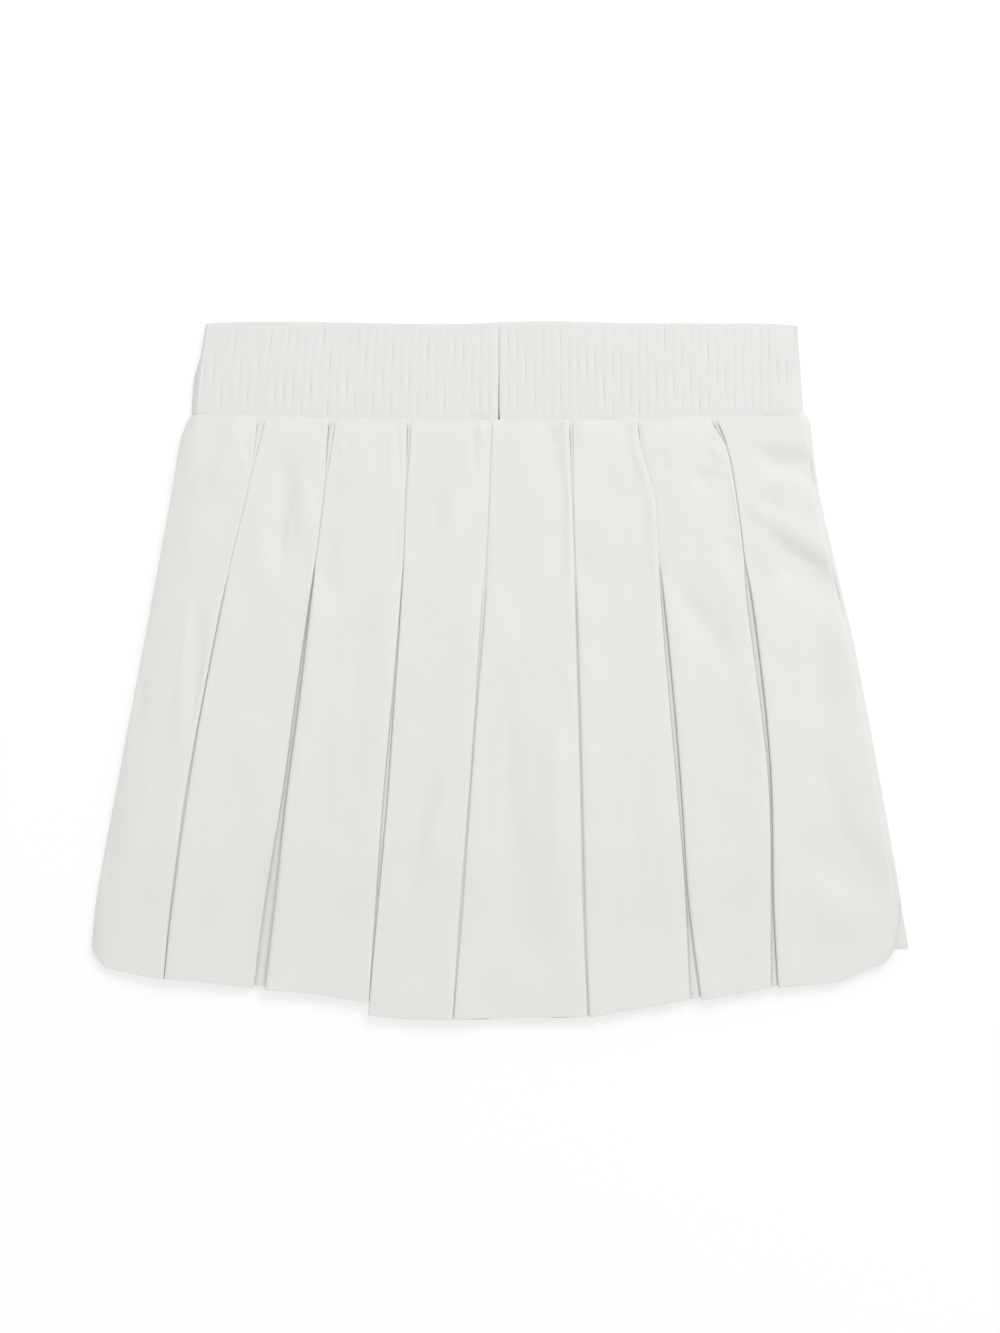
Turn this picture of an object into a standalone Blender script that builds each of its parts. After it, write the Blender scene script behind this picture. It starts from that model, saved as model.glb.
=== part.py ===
"""Pleated skort, laid flat on its front: rib waistband, pleated back and front skirts, inner shorts.

Metres, +Z up. The garment lies on Z = 0, X runs across it and +Y points to the waistband.
Every piece is a cloth wall: a middle surface in the laid-flat shape, given its thickness by Solidify.
"""
import math

import bmesh
import bpy

# Walls and layers.
SKIRT_CLOTH = 0.0010            # thickness of the skirt cloth
SHORTS_CLOTH = 0.0010
RIB_CLOTH = 0.0022              # thickness of the waistband's rib knit
LAYER_PITCH = 0.0014            # middle to middle of two folded layers of cloth
SEAM_GAP = 0.0003               # between two pieces sewn together
SEAM_CURL = 0.00001             # least rise of a wall's edge that is turned up
WAIST_GAP = 0.0006              # between the waistband and the skirt

# Heights of the middle surfaces above the surface that the garment lies on.
FRONT_PANEL_Z = SKIRT_CLOTH / 2
SHORTS_LOWER_Z = FRONT_PANEL_Z + 3 * LAYER_PITCH
SHORTS_UPPER_Z = SHORTS_LOWER_Z + LAYER_PITCH
BACK_PANEL_Z = SHORTS_UPPER_Z + 3 * LAYER_PITCH
SINK = 0.0026                   # how far the back settles below the shorts' hem
SINK_START_Y = -0.118
SINK_END_Y = -0.160

# Waistband.
BAND_TOP_WIDTH = 0.3400
BAND_SEAM_WIDTH = 0.3440
BAND_TOP_Y = 0.2004
BAND_X = 0.0004                 # middle of the band
BACK_SEAM_X = -0.0012           # where its two ends are joined
BAND_ROWS = (0.0, 0.04, 0.2, 0.45, 0.72, 1.0)      # shares of the way from the top edge to the skirt
BAND_FLOOR_Z = RIB_CLOTH / 2
BAND_TOP_GAP_Z = 0.0028         # upper wall above lower wall at the top edge, middle to middle
BAND_SEAM_GAP_Z = BACK_PANEL_Z - BAND_FLOOR_Z
BAND_SPREAD_POWER = 1.6         # the walls part slowly at first, then faster towards the skirt
BAND_FOLD_STEPS = 4
BAND_WALL_STEPS = 6

# Seam between the waistband and the skirt: a shallow curve, lowest in the middle.
SEAM_SIDE_Y = 0.1480
SEAM_DIP = 0.0040
SEAM_HALF_WIDTH = 0.1780

# Sides of the skirt: the outline seen from above.
SIDE_ROWS = (
    # name        y        left_x   right_x   upper layer's step in from right_x
    ("seam",      0.1480, -0.1730,  0.1722,  0.0),
    ("shoulder",  0.1430, -0.1795,  0.1752,  0.0),
    ("hip",       0.1331, -0.1846,  0.1783,  0.0),
    ("tack",      0.0607, -0.1967,  0.1921,  0.0),
    ("thigh",    -0.0543, -0.2191,  0.2145,  0.0),
    ("low",      -0.1297, -0.2306,  0.2289,  0.0006),
    ("corner",   -0.1600, -0.2340,  0.2340,  0.0085),
    ("hem",      -0.1680, -0.2335,  0.2335,  0.0095),
)

# The back slopes down to its side seams, which lie low; near the waist it drops more steeply.
SIDE_SEAM_TOP_Z = 0.0046
SIDE_SEAM_HEM_Z = 0.0032
WAIST_ROLL = 0.0060             # width of the slope at the waist
SIDE_ROLL = 0.0150              # and below the gathers
BACK_SIDE_TURN = (
    # inward  and share of the slope's width   share of the way up to the panel
    (0.0000,  0.00,                            0.00),
    (0.0003,  0.00,                            0.15),
    (0.0003,  0.10,                            0.36),
    (0.0003,  0.32,                            0.66),
    (0.0003,  0.64,                            0.90),
    (0.0003,  1.00,                            1.00),
)
FRONT_SIDE_TURN = (
    (0.0000,  0.00,                            0.00),
    (0.0003,  0.00,                            0.45),
    (0.0016,  0.00,                            0.85),
    (0.0048,  0.00,                            1.00),
)

# Back pleats, left to right. Each opens below its tack; the lips are the two folded edges.
GATHER_Y = 0.1268               # where the gathers at the pleat tops die out
YOKE_Y = 0.0980
TACK_Y = 0.0607                 # where the stitching that holds a pleat shut ends
THIGH_Y = -0.0543
LOW_Y = -0.1406
PLEAT_SEAM_DEPTH = 0.0160       # from the pleat line to the hidden fold, at the waist
PLEAT_HEM_DEPTH = 0.0200
BACK_PLEAT_LINES = (
    # seam_x  gather_x  yoke_x   tack_x   thigh_x   low_x    hem_x    hem_y    hem_step
    (-0.1374, -0.1400, -0.1466, -0.1554, -0.1781, -0.1903, -0.1941, -0.1734,  0.0),
    (-0.0963, -0.0983, -0.1022, -0.1070, -0.1221, -0.1326, -0.1380, -0.1803,  0.0),
    (-0.0529, -0.0535, -0.0549, -0.0566, -0.0650, -0.0720, -0.0760, -0.1900, -0.0044),
    (-0.0052, -0.0058, -0.0069, -0.0086, -0.0168, -0.0232, -0.0276, -0.1969,  0.0),
    (0.0405,   0.0408,  0.0414,  0.0425,  0.0458,  0.0480,  0.0503, -0.1958,  0.0),
    (0.0782,   0.0828,  0.0894,  0.0911,  0.1012,  0.1079,  0.1121, -0.1872,  0.0),
    (0.1213,   0.1316,  0.1366,  0.1406,  0.1531,  0.1563,  0.1576, -0.1797,  0.0),
)
BACK_PLEAT_LIPS = (
    # hem_gap  left_lift  right_lift
    (0.0012,   0.0004,    0.0002),
    (0.0075,   0.0000,    0.0008),
    (0.0016,   0.0010,    0.0000),
    (0.0018,   0.0010,    0.0002),
    (0.0020,   0.0010,    0.0002),
    (0.0065,   0.0000,    0.0008),
    (0.0030,   0.0000,    0.0006),
)
BACK_CROWNS = (0.0012, 0.0015, 0.0015, 0.0016, 0.0014, 0.0015, 0.0015, 0.0018)
BACK_HEM_BOWS = (-0.0010, -0.0008, -0.0010, -0.0006, -0.0022, -0.0010, -0.0006, -0.0016)
BACK_HEM_LEFT_Y = -0.1705       # where the hem line meets the rounded corners
BACK_HEM_RIGHT_Y = -0.1690

# Largest soft troughs in the back panels, each along a line.
BACK_TROUGHS = (
    # start_x   start_y   end_x    end_y    half_width  depth
    (-0.1740,  0.0170, -0.1790, -0.0200,   0.0090,     0.0012),
    (-0.1230,  0.1170, -0.1240,  0.0720,   0.0080,     0.0010),
    (-0.0700,  0.0420, -0.0820, -0.0340,   0.0090,     0.0010),
    (-0.0280,  0.1040, -0.0470,  0.0800,   0.0080,     0.0011),
    (-0.0310, -0.0500, -0.0530, -0.1140,   0.0090,     0.0011),
    (0.0240,  -0.0170,  0.0350, -0.1620,   0.0090,     0.0013),
    (0.1010,   0.0500,  0.1330, -0.0020,   0.0100,     0.0012),
    (0.1330,   0.1180,  0.1910,  0.0540,   0.0100,     0.0015),
)

# Front pleats: seven, evenly spread between the sides.
FRONT_PLEAT_COUNT = 7
FRONT_HEM_GAP = 0.0024
FRONT_HEM_PEEP = 0.0035         # how far the front's hem shows below the back's, in the middle
FRONT_HEM_LEFT_Y = -0.1700
FRONT_HEM_RIGHT_Y = -0.1660
FRONT_CORNER_RISE = 0.0050
HIDDEN_HEM_RISE = 0.0008        # the hidden folds of a pleat end this much above its lips

# Shorts.
SHORTS_SIDE_EASE = 0.0080       # inside the skirt's side
SHORTS_MAX_X = 0.2050
CROTCH_Y = -0.0560
LEG_HEM_Y = -0.1040
LEG_SPREAD = 0.0080             # half the space between the legs at their hems
LEG_RISE_STEPS = 4
LEG_STEPS = 2
LEG_WALL_STEPS = 4

# Rows of points from the waist seam to the hem, as shares of the way.
BACK_ROWS = (0.0, 0.015, 0.05, 0.14, 0.25, 0.29, 0.38, 0.50, 0.63, 0.76, 0.89, 1.0)
FRONT_ROWS = (0.0, 0.015, 0.08, 0.25, 0.29, 0.46, 0.66, 0.86, 1.0)
BACK_PANEL_STEPS = 4            # columns inside each panel
FRONT_PANEL_STEPS = 1

CORNER_REACH = 0.0110           # how far the rounded hem corner reaches in from the side
CORNER_RISE = 0.0085

KNIT_COLOUR = (0.80, 0.81, 0.77, 1.0)
RIB_COLOUR = (0.78, 0.79, 0.76, 1.0)
KNIT_ROUGHNESS = 0.80
RIB_ROUGHNESS = 0.90


def blend(start, end, share):
    return start + (end - start) * share


def ease(share):
    """Smooth step from 0 to 1."""
    share = min(max(share, 0.0), 1.0)
    return share * share * (3.0 - 2.0 * share)


def through(stations, values, y):
    """Smooth curve through a value at each station; stations fall from the waist to the hem."""
    last = len(stations) - 1
    span = next((i for i in range(last) if y >= stations[i + 1]), last - 1)

    def slope(i):
        low = max(i - 1, 0)
        high = min(i + 1, last)
        return (values[high] - values[low]) / (stations[high] - stations[low])

    length = stations[span + 1] - stations[span]
    t = (y - stations[span]) / length
    start_push = slope(span) * length
    end_push = slope(span + 1) * length
    turn = start_push + end_push - 2.0 * (values[span + 1] - values[span])
    bend = 3.0 * (values[span + 1] - values[span]) - 2.0 * start_push - end_push
    return values[span] + t * (start_push + t * (bend + t * turn))


def seam_y(x):
    """Y of the seam between waistband and skirt."""
    share = min(abs(x) / SEAM_HALF_WIDTH, 1.0)
    return SEAM_SIDE_Y - SEAM_DIP * (1.0 - share * share)


SIDE_STATIONS = tuple(row[1] for row in SIDE_ROWS)
LEFT_XS = tuple(row[2] for row in SIDE_ROWS)
RIGHT_XS = tuple(row[3] for row in SIDE_ROWS)
STEP_INS = tuple(row[4] for row in SIDE_ROWS)


def left_x(y):
    return through(SIDE_STATIONS, LEFT_XS, y)


def right_x(y):
    return through(SIDE_STATIONS, RIGHT_XS, y)


def step_in(y):
    """How far the upper layer's right edge lies inside the lower layer's."""
    return max(through(SIDE_STATIONS, STEP_INS, y), 0.0)


def sink(y):
    """How far the back of the skirt has settled, where no shorts lie under it."""
    return SINK * ease((SINK_START_Y - y) / (SINK_START_Y - SINK_END_Y))


def side_seam_z(y):
    """Height of the side seams."""
    share = (SEAM_SIDE_Y - y) / (SEAM_SIDE_Y - SIDE_STATIONS[-1])
    return blend(SIDE_SEAM_TOP_Z, SIDE_SEAM_HEM_Z, share)


def side_roll(y):
    """Width of the slope at the sides of the back."""
    return blend(WAIST_ROLL, SIDE_ROLL, ease((SEAM_SIDE_Y - y) / (SEAM_SIDE_Y - GATHER_Y)))


def trough(x, y):
    """Depth of the soft troughs at a point of the back."""
    depth = 0.0
    for start_x, start_y, end_x, end_y, half_width, deepest in BACK_TROUGHS:
        run_x = end_x - start_x
        run_y = end_y - start_y
        share = ((x - start_x) * run_x + (y - start_y) * run_y) / (run_x ** 2 + run_y ** 2)
        share = min(max(share, 0.0), 1.0)
        away = math.hypot(x - start_x - share * run_x, y - start_y - share * run_y)
        depth += deepest * math.exp(-(away / half_width) ** 2)
    return depth


class Pleat:
    """One inverted pleat: its line down the skirt, the gap between its lips and its hidden folds."""

    def __init__(self, stations, xs, hem_y, hem_step, hem_gap, lifts):
        self.stations = stations
        self.xs = xs
        self.hem_y = hem_y
        self.hem_step = hem_step
        self.hem_gap = hem_gap
        self.lifts = lifts

    def line(self, y):
        return through(self.stations, self.xs, y)

    def open_share(self, y):
        return min(max((TACK_Y - y) / (TACK_Y - self.hem_y), 0.0), 1.0)

    def half_gap(self, y):
        """From the pleat's line to the middle of the lip's cloth."""
        return (SEAM_GAP + self.hem_gap * self.open_share(y) + SKIRT_CLOTH) / 2

    def depth(self, y):
        share = (SEAM_SIDE_Y - y) / (SEAM_SIDE_Y - self.hem_y)
        return blend(PLEAT_SEAM_DEPTH, PLEAT_HEM_DEPTH, share)

    def lift(self, side, y):
        return self.lifts[side] * self.open_share(y) ** 0.5

    def lip_hem(self, side):
        return self.hem_y + side * self.hem_step


def back_pleats():
    pleats = []
    for line, (hem_gap, left_lift, right_lift) in zip(BACK_PLEAT_LINES, BACK_PLEAT_LIPS):
        xs, hem_y, hem_step = line[:7], line[7], line[8]
        stations = (seam_y(xs[0]), GATHER_Y, YOKE_Y, TACK_Y, THIGH_Y, LOW_Y, hem_y)
        pleats.append(Pleat(stations, xs, hem_y, hem_step, hem_gap, (left_lift, right_lift)))
    return pleats


def back_hem_y(x):
    """Y of the back's hem line at x, through the ends of the pleat lines and the two corners."""
    xs = [LEFT_XS[-1]] + [row[6] for row in BACK_PLEAT_LINES] + [RIGHT_XS[-1]]
    ys = [BACK_HEM_LEFT_Y] + [row[7] for row in BACK_PLEAT_LINES] + [BACK_HEM_RIGHT_Y]
    return through([-value for value in xs], ys, -x)


def front_hem_y(x):
    """Y of the front's hem line at x: it shows a little below the back's, except at the sides."""
    share = min(abs(x) / RIGHT_XS[-1], 1.0)
    return back_hem_y(x) - FRONT_HEM_PEEP * (1.0 - share * share)


def front_pleats():
    pleats = []
    for number in range(FRONT_PLEAT_COUNT):
        share = (number + 1) / (FRONT_PLEAT_COUNT + 1)
        hem_x = blend(LEFT_XS[-1], RIGHT_XS[-1], share)
        hem_y = front_hem_y(hem_x)
        stations = (SEAM_SIDE_Y, TACK_Y, THIGH_Y, hem_y)
        xs = tuple(blend(left_x(y), right_x(y), share) for y in stations[:3]) + (hem_x,)
        pleats.append(Pleat(stations, xs, hem_y, 0.0, FRONT_HEM_GAP, (0.0, 0.0)))
    return pleats


def pleat_columns(pleat, hem_line, panel_z, under):
    """Columns of one pleat, left lip to right lip. under is -1 where its folds lie below the panels.

    A column is its hem's Y and a function that gives its X and Z at any Y.
    """
    fold = LAYER_PITCH / 2

    def lip(side, inward, layers):
        def place(y):
            way = -1 if side == 0 else 1
            x = pleat.line(y) + way * (pleat.half_gap(y) + inward)
            lift = pleat.lift(side, y) * (1.0 - layers)
            return x, panel_z(y) + under * layers * LAYER_PITCH + lift
        return pleat.lip_hem(side), place

    def hidden(way, layers):
        def place(y):
            return pleat.line(y) + way * pleat.depth(y), panel_z(y) + under * layers * LAYER_PITCH
        return hem_line(place(pleat.hem_y)[0]) + HIDDEN_HEM_RISE, place

    left = [lip(0, fold, 0.0), lip(0, 0.0, 0.5), lip(0, fold, 1.0), hidden(-1, 1.0), hidden(-1, 2.0)]
    right = [hidden(1, 2.0), hidden(1, 1.0), lip(1, fold, 1.0), lip(1, 0.0, 0.5), lip(1, fold, 0.0)]
    return left + right


def side_columns(side, edge_x, hem_y, corner_rise, panel_z, seam_z, turn):
    """Columns of a side edge that turns from the panel to the side seam, outermost first."""
    way = 1 if side == "left" else -1
    columns = []
    for inward, roll_share, share in turn:
        def place(y, inward=inward, roll_share=roll_share, share=share):
            x = edge_x(y) + way * (inward + roll_share * side_roll(y))
            return x, blend(seam_z(y), panel_z(y), share)
        round_share = max(1.0 - (inward + roll_share * SIDE_ROLL) / CORNER_REACH, 0.0)
        columns.append((hem_y + corner_rise * round_share ** 2, place))
    return columns if side == "left" else columns[::-1]


def panel_columns(left_edge, right_edge, steps, crown, bow):
    """Columns inside a panel, between its two bounding columns, crowned above them."""
    columns = []
    for number in range(1, steps + 1):
        share = number / (steps + 1)
        arch = 4.0 * share * (1.0 - share)

        def place(y, share=share, arch=arch):
            left = left_edge[1](y)
            right = right_edge[1](y)
            x = blend(left[0], right[0], share)
            rise = crown * ease((SEAM_SIDE_Y - y) / (SEAM_SIDE_Y - TACK_Y))
            if crown > 0.0:
                rise = max(rise - trough(x, y), 0.0)
            return x, blend(left[1], right[1], share) + rise * arch
        hem = blend(left_edge[0], right_edge[0], share) + bow * arch
        columns.append((hem, place))
    return columns


def skirt_columns(pleats, hem_line, left_side, right_side, panel_z, under, steps, crowns, bows):
    groups = [left_side]
    groups += [pleat_columns(pleat, hem_line, panel_z, under) for pleat in pleats]
    groups.append(right_side)
    columns = list(groups[0])
    for number, group in enumerate(groups[1:]):
        columns += panel_columns(columns[-1], group[0], steps, crowns[number], bows[number])
        columns += group
    return columns


def material(name, colour, roughness):
    made = bpy.data.materials.new(name)
    made.use_nodes = True
    shader = made.node_tree.nodes["Principled BSDF"]
    shader.inputs["Base Color"].default_value = colour
    shader.inputs["Roughness"].default_value = roughness
    shader.inputs["Metallic"].default_value = 0.0
    return made


def cloth_piece(name, grid, thickness, finish):
    """A piece of cloth whose middle surface passes through grid, a list of rows of points."""
    rows = len(grid)
    columns = len(grid[0])
    shape = bmesh.new()
    bmesh.ops.create_grid(shape, x_segments=columns - 1, y_segments=rows - 1, size=1.0)
    shape.verts.ensure_lookup_table()
    for row in range(rows):
        for column in range(columns):
            shape.verts[row * columns + column].co = grid[row][column]
    mesh = bpy.data.meshes.new(name)
    shape.to_mesh(mesh)
    shape.free()
    mesh.materials.append(finish)
    piece = bpy.data.objects.new(name, mesh)
    bpy.context.scene.collection.objects.link(piece)
    wall = piece.modifiers.new("wall", "SOLIDIFY")
    wall.thickness = thickness
    wall.offset = 0.0
    wall.use_even_offset = True
    wall.use_quality_normals = True
    return piece


def skirt_grid(columns, rows):
    """Points of a skirt piece: every column runs from the waist seam to its own hem."""
    grid = []
    for share in rows:
        points = []
        for hem, place in columns:
            top = seam_y(place(SEAM_SIDE_Y)[0]) - WAIST_GAP
            y = blend(top, hem, share)
            x, z = place(y)
            points.append((x, y, z))
        grid.append(points)
    return grid


def make_skirt_back(finish):
    def panel_z(y):
        return BACK_PANEL_Z - sink(y)

    def left_seam_z(y):
        return side_seam_z(y) + SEAM_GAP / 2

    def right_seam_z(y):
        apart = min(step_in(y) / STEP_INS[-1], 1.0)
        return blend(left_seam_z(y), FRONT_PANEL_Z + LAYER_PITCH, apart)

    def left_edge(y):
        return left_x(y) + SKIRT_CLOTH / 2

    def right_edge(y):
        return right_x(y) - step_in(y) - SKIRT_CLOTH / 2

    left_side = side_columns("left", left_edge, BACK_HEM_LEFT_Y, CORNER_RISE, panel_z, left_seam_z,
                             BACK_SIDE_TURN)
    right_side = side_columns("right", right_edge, BACK_HEM_RIGHT_Y, CORNER_RISE, panel_z, right_seam_z,
                              BACK_SIDE_TURN)
    columns = skirt_columns(back_pleats(), back_hem_y, left_side, right_side, panel_z, -1,
                            BACK_PANEL_STEPS, BACK_CROWNS, BACK_HEM_BOWS)
    return cloth_piece("skirt_back", skirt_grid(columns, BACK_ROWS), SKIRT_CLOTH, finish)


def make_skirt_front(finish):
    def panel_z(y):
        return FRONT_PANEL_Z

    def left_seam_z(y):
        return side_seam_z(y) - SEAM_GAP / 2

    def right_seam_z(y):
        apart = min(step_in(y) / STEP_INS[-1], 1.0)
        return blend(left_seam_z(y), FRONT_PANEL_Z + SEAM_CURL, apart)

    def left_edge(y):
        return left_x(y) + SKIRT_CLOTH / 2

    def right_edge(y):
        return right_x(y) - SKIRT_CLOTH / 2

    left_side = side_columns("left", left_edge, FRONT_HEM_LEFT_Y, CORNER_RISE, panel_z, left_seam_z,
                             FRONT_SIDE_TURN)
    right_side = side_columns("right", right_edge, FRONT_HEM_RIGHT_Y, FRONT_CORNER_RISE, panel_z,
                              right_seam_z, FRONT_SIDE_TURN)
    flat = (0.0,) * (FRONT_PLEAT_COUNT + 1)
    columns = skirt_columns(front_pleats(), front_hem_y, left_side, right_side, panel_z, 1,
                            FRONT_PANEL_STEPS, flat, flat)
    return cloth_piece("skirt_front", skirt_grid(columns, FRONT_ROWS), SKIRT_CLOTH, finish)


def make_waistband(finish):
    """The rib band: from the centre back seam round the right fold, along the front and back again."""
    grid = []
    for share in BAND_ROWS:
        spread = blend(BAND_TOP_GAP_Z, BAND_SEAM_GAP_Z, share ** BAND_SPREAD_POWER)
        radius = spread / 2
        centre_z = BAND_FLOOR_Z + radius
        half = blend(BAND_TOP_WIDTH, BAND_SEAM_WIDTH, share) / 2 - RIB_CLOTH / 2 - radius
        profile = []
        for step in range(BAND_WALL_STEPS):
            along = step / BAND_WALL_STEPS
            profile.append((blend(BACK_SEAM_X + SEAM_GAP / 2, BAND_X + half, along), BAND_FLOOR_Z + spread))
        for step in range(BAND_FOLD_STEPS + 1):
            angle = math.pi * (0.5 - step / BAND_FOLD_STEPS)
            x = BAND_X + half + radius * math.cos(angle)
            profile.append((x, centre_z + radius * math.sin(angle)))
        for step in range(1, BAND_WALL_STEPS):
            profile.append((BAND_X + blend(half, -half, step / BAND_WALL_STEPS), BAND_FLOOR_Z))
        for step in range(BAND_FOLD_STEPS + 1):
            angle = math.pi * (0.5 + step / BAND_FOLD_STEPS)
            x = BAND_X - half + radius * math.cos(angle)
            profile.append((x, centre_z - radius * math.sin(angle)))
        for step in range(1, BAND_WALL_STEPS + 1):
            along = step / BAND_WALL_STEPS
            profile.append((blend(BAND_X - half, BACK_SEAM_X - SEAM_GAP / 2, along), BAND_FLOOR_Z + spread))
        grid.append([(x, blend(BAND_TOP_Y, seam_y(x), share), z) for x, z in profile])
    return cloth_piece("waistband", grid, RIB_CLOTH, finish)


def make_shorts(name, way, finish):
    """Half of the shorts: one piece folded round the outer side of the leg. way is -1 for the left."""
    rises = [blend(seam_y(0.0) - SEAM_GAP, CROTCH_Y, step / LEG_RISE_STEPS) for step in range(LEG_RISE_STEPS + 1)]
    legs = [blend(CROTCH_Y, LEG_HEM_Y, (step + 1) / LEG_STEPS) for step in range(LEG_STEPS)]
    fold = LAYER_PITCH / 2
    grid = []
    for middle_y in rises + legs:
        below = max((CROTCH_Y - middle_y) / (CROTCH_Y - LEG_HEM_Y), 0.0)
        inner = SEAM_GAP / 2 + LEG_SPREAD * below
        edge = -left_x(middle_y) if way < 0 else right_x(middle_y)
        outer = min(edge - SHORTS_SIDE_EASE, SHORTS_MAX_X)
        xs = [blend(inner, outer - fold, step / LEG_WALL_STEPS) for step in range(LEG_WALL_STEPS + 1)]
        profile = [(x, SHORTS_LOWER_Z) for x in xs]
        profile.append((outer, (SHORTS_LOWER_Z + SHORTS_UPPER_Z) / 2))
        profile += [(x, SHORTS_UPPER_Z) for x in reversed(xs)]
        row = []
        for x, z in profile:
            rise = seam_y(x) - seam_y(0.0)
            share = (middle_y - LEG_HEM_Y) / (rises[0] - LEG_HEM_Y)
            row.append((way * x, middle_y + rise * share, z))
        grid.append(row)
    return cloth_piece(name, grid, SHORTS_CLOTH, finish)


def main():
    for old in list(bpy.data.objects):
        bpy.data.objects.remove(old, do_unlink=True)
    make_waistband(material("rib_knit", RIB_COLOUR, RIB_ROUGHNESS))
    make_skirt_back(material("skirt_back_knit", KNIT_COLOUR, KNIT_ROUGHNESS))
    make_skirt_front(material("skirt_front_knit", KNIT_COLOUR, KNIT_ROUGHNESS))
    make_shorts("shorts_left", -1, material("shorts_left_knit", KNIT_COLOUR, KNIT_ROUGHNESS))
    make_shorts("shorts_right", 1, material("shorts_right_knit", KNIT_COLOUR, KNIT_ROUGHNESS))


main()
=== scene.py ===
"""Looks of the pleated skort, laid flat on its front: rib waistband, pleated skirt, inner shorts.

Metres, +Z up. X runs across the garment, +Y points to the waistband, and it lies on Z = 0.
Each piece of cloth is a grid of columns that run from the waist to the hem, given its wall by Solidify.
"""
import math

import bmesh
import bpy
import numpy as np
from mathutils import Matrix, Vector


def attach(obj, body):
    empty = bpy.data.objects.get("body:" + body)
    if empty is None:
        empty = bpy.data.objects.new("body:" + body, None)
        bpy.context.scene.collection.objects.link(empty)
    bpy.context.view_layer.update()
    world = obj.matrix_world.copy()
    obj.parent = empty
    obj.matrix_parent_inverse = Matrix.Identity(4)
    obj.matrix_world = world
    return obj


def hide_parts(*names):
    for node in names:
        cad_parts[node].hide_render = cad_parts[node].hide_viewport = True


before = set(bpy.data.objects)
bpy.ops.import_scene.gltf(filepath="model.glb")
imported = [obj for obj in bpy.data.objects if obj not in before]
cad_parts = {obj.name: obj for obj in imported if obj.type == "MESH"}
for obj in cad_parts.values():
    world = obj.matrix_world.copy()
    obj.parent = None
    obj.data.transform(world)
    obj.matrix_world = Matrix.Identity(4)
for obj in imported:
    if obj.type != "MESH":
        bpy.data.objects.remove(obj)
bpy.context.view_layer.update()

# ---------------------------------------------------------------- sizes of the garment

SKIRT_CLOTH = 0.0008
SHORTS_CLOTH = 0.0008
RIB_CLOTH = 0.0022
LAYER_PITCH = 0.0014            # middle to middle of two layers of the garment
FOLD_PITCH = 0.0010             # middle to middle of two folded layers of a pleat
SEAM_GAP = 0.0003

FRONT_PANEL_Z = SKIRT_CLOTH / 2
SHORTS_LOWER_Z = FRONT_PANEL_Z + 3 * LAYER_PITCH
SHORTS_UPPER_Z = SHORTS_LOWER_Z + LAYER_PITCH
BACK_PANEL_Z = SHORTS_UPPER_Z + 3 * LAYER_PITCH
SINK = 0.0034                   # how far the back settles below the shorts' hem
SINK_START_Y = -0.095
SINK_END_Y = -0.165

# Stations down the skirt.
SEAM_SIDE_Y = 0.1480
GATHER_Y = 0.1268               # where the gathers at the pleat tops die out
YOKE_Y = 0.0980
TACK_Y = 0.0607                 # where the stitching that holds a pleat shut ends
THIGH_Y = -0.0543
LOW_Y = -0.1406
SEAM_DIP = 0.0040
SEAM_HALF_WIDTH = 0.1780

SIDE_ROWS = (
    # name        y        left_x   right_x   upper layer's step in from right_x
    ("seam",      0.1480, -0.1778,  0.1748,  0.0),
    ("shoulder",  0.1430, -0.1808,  0.1780,  0.0),
    ("hip",       0.1331, -0.1845,  0.1791,  0.0),
    ("yoke",      0.1000, -0.1901,  0.1838,  0.0),
    ("tack",      0.0607, -0.1973,  0.1928,  0.0),
    ("side",      0.0118, -0.2064,  0.2040,  0.0),
    ("thigh",    -0.0543, -0.2189,  0.2166,  0.0),
    ("low",      -0.1297, -0.2328,  0.2302,  0.0006),
    ("corner",   -0.1600, -0.2360,  0.2354,  0.0085),
    ("hem",      -0.1680, -0.2355,  0.2352,  0.0095),
)

# The back slopes down to its side seams, which lie low. On the left the slope is short and steep
# at the waist and wider further down.
SIDE_SEAM_TOP_Z = 0.0042
SIDE_SEAM_HEM_Z = 0.0026
ROLL_YS = (0.1480, 0.1268, 0.0980, 0.0607, 0.0118)
LEFT_ROLLS = (0.0042, 0.0130, 0.0180, 0.0210, 0.0220)   # width of the slope at these Ys
RIGHT_ROLLS = (0.0045, 0.0045, 0.0045, 0.0045, 0.0045)
ROLL_STEPS = 16
ROLL_STEP_POWER = 1.3           # above 1, the columns are closer together near the edge
ROLL_POWER = 2.0                # above 1, the slope is steeper near the edge
EDGE_INSET = 0.0004             # the outermost strip, which rises steeply from the side seam
LEFT_EDGE_RISE = 0.22           # share of the height that this strip takes up
RIGHT_EDGE_RISE = 0.50
LEFT_RELIEF_PART = 0.2          # part of the slope over which the soft folds fade to the edge
RIGHT_RELIEF_PART = 0.5
PARTED = 0.0012                 # from this step in on, the back's edge lies on the front

# Pleat lines of the back, left to right.
BACK_PLEAT_LINES = (
    # seam_x  gather_x  yoke_x   tack_x   thigh_x   low_x    hem_x    hem_y    hem_step
    (-0.1374, -0.1410, -0.1470, -0.1559, -0.1781, -0.1903, -0.1941, -0.1776,  0.0),
    (-0.0970, -0.0990, -0.1022, -0.1070, -0.1221, -0.1340, -0.1392, -0.1827, -0.0013),
    (-0.0529, -0.0535, -0.0549, -0.0562, -0.0650, -0.0720, -0.0760, -0.1910, -0.0075),
    (-0.0052, -0.0058, -0.0069, -0.0086, -0.0168, -0.0232, -0.0276, -0.2010,  0.0),
    (0.0403,   0.0405,  0.0412,  0.0425,  0.0458,  0.0480,  0.0503, -0.1995,  0.0),
    (0.0790,   0.0812,  0.0886,  0.0912,  0.1014,  0.1079,  0.1121, -0.1896,  0.0),
    (0.1213,   0.1303,  0.1357,  0.1404,  0.1540,  0.1563,  0.1576, -0.1827,  0.0),
)
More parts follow.
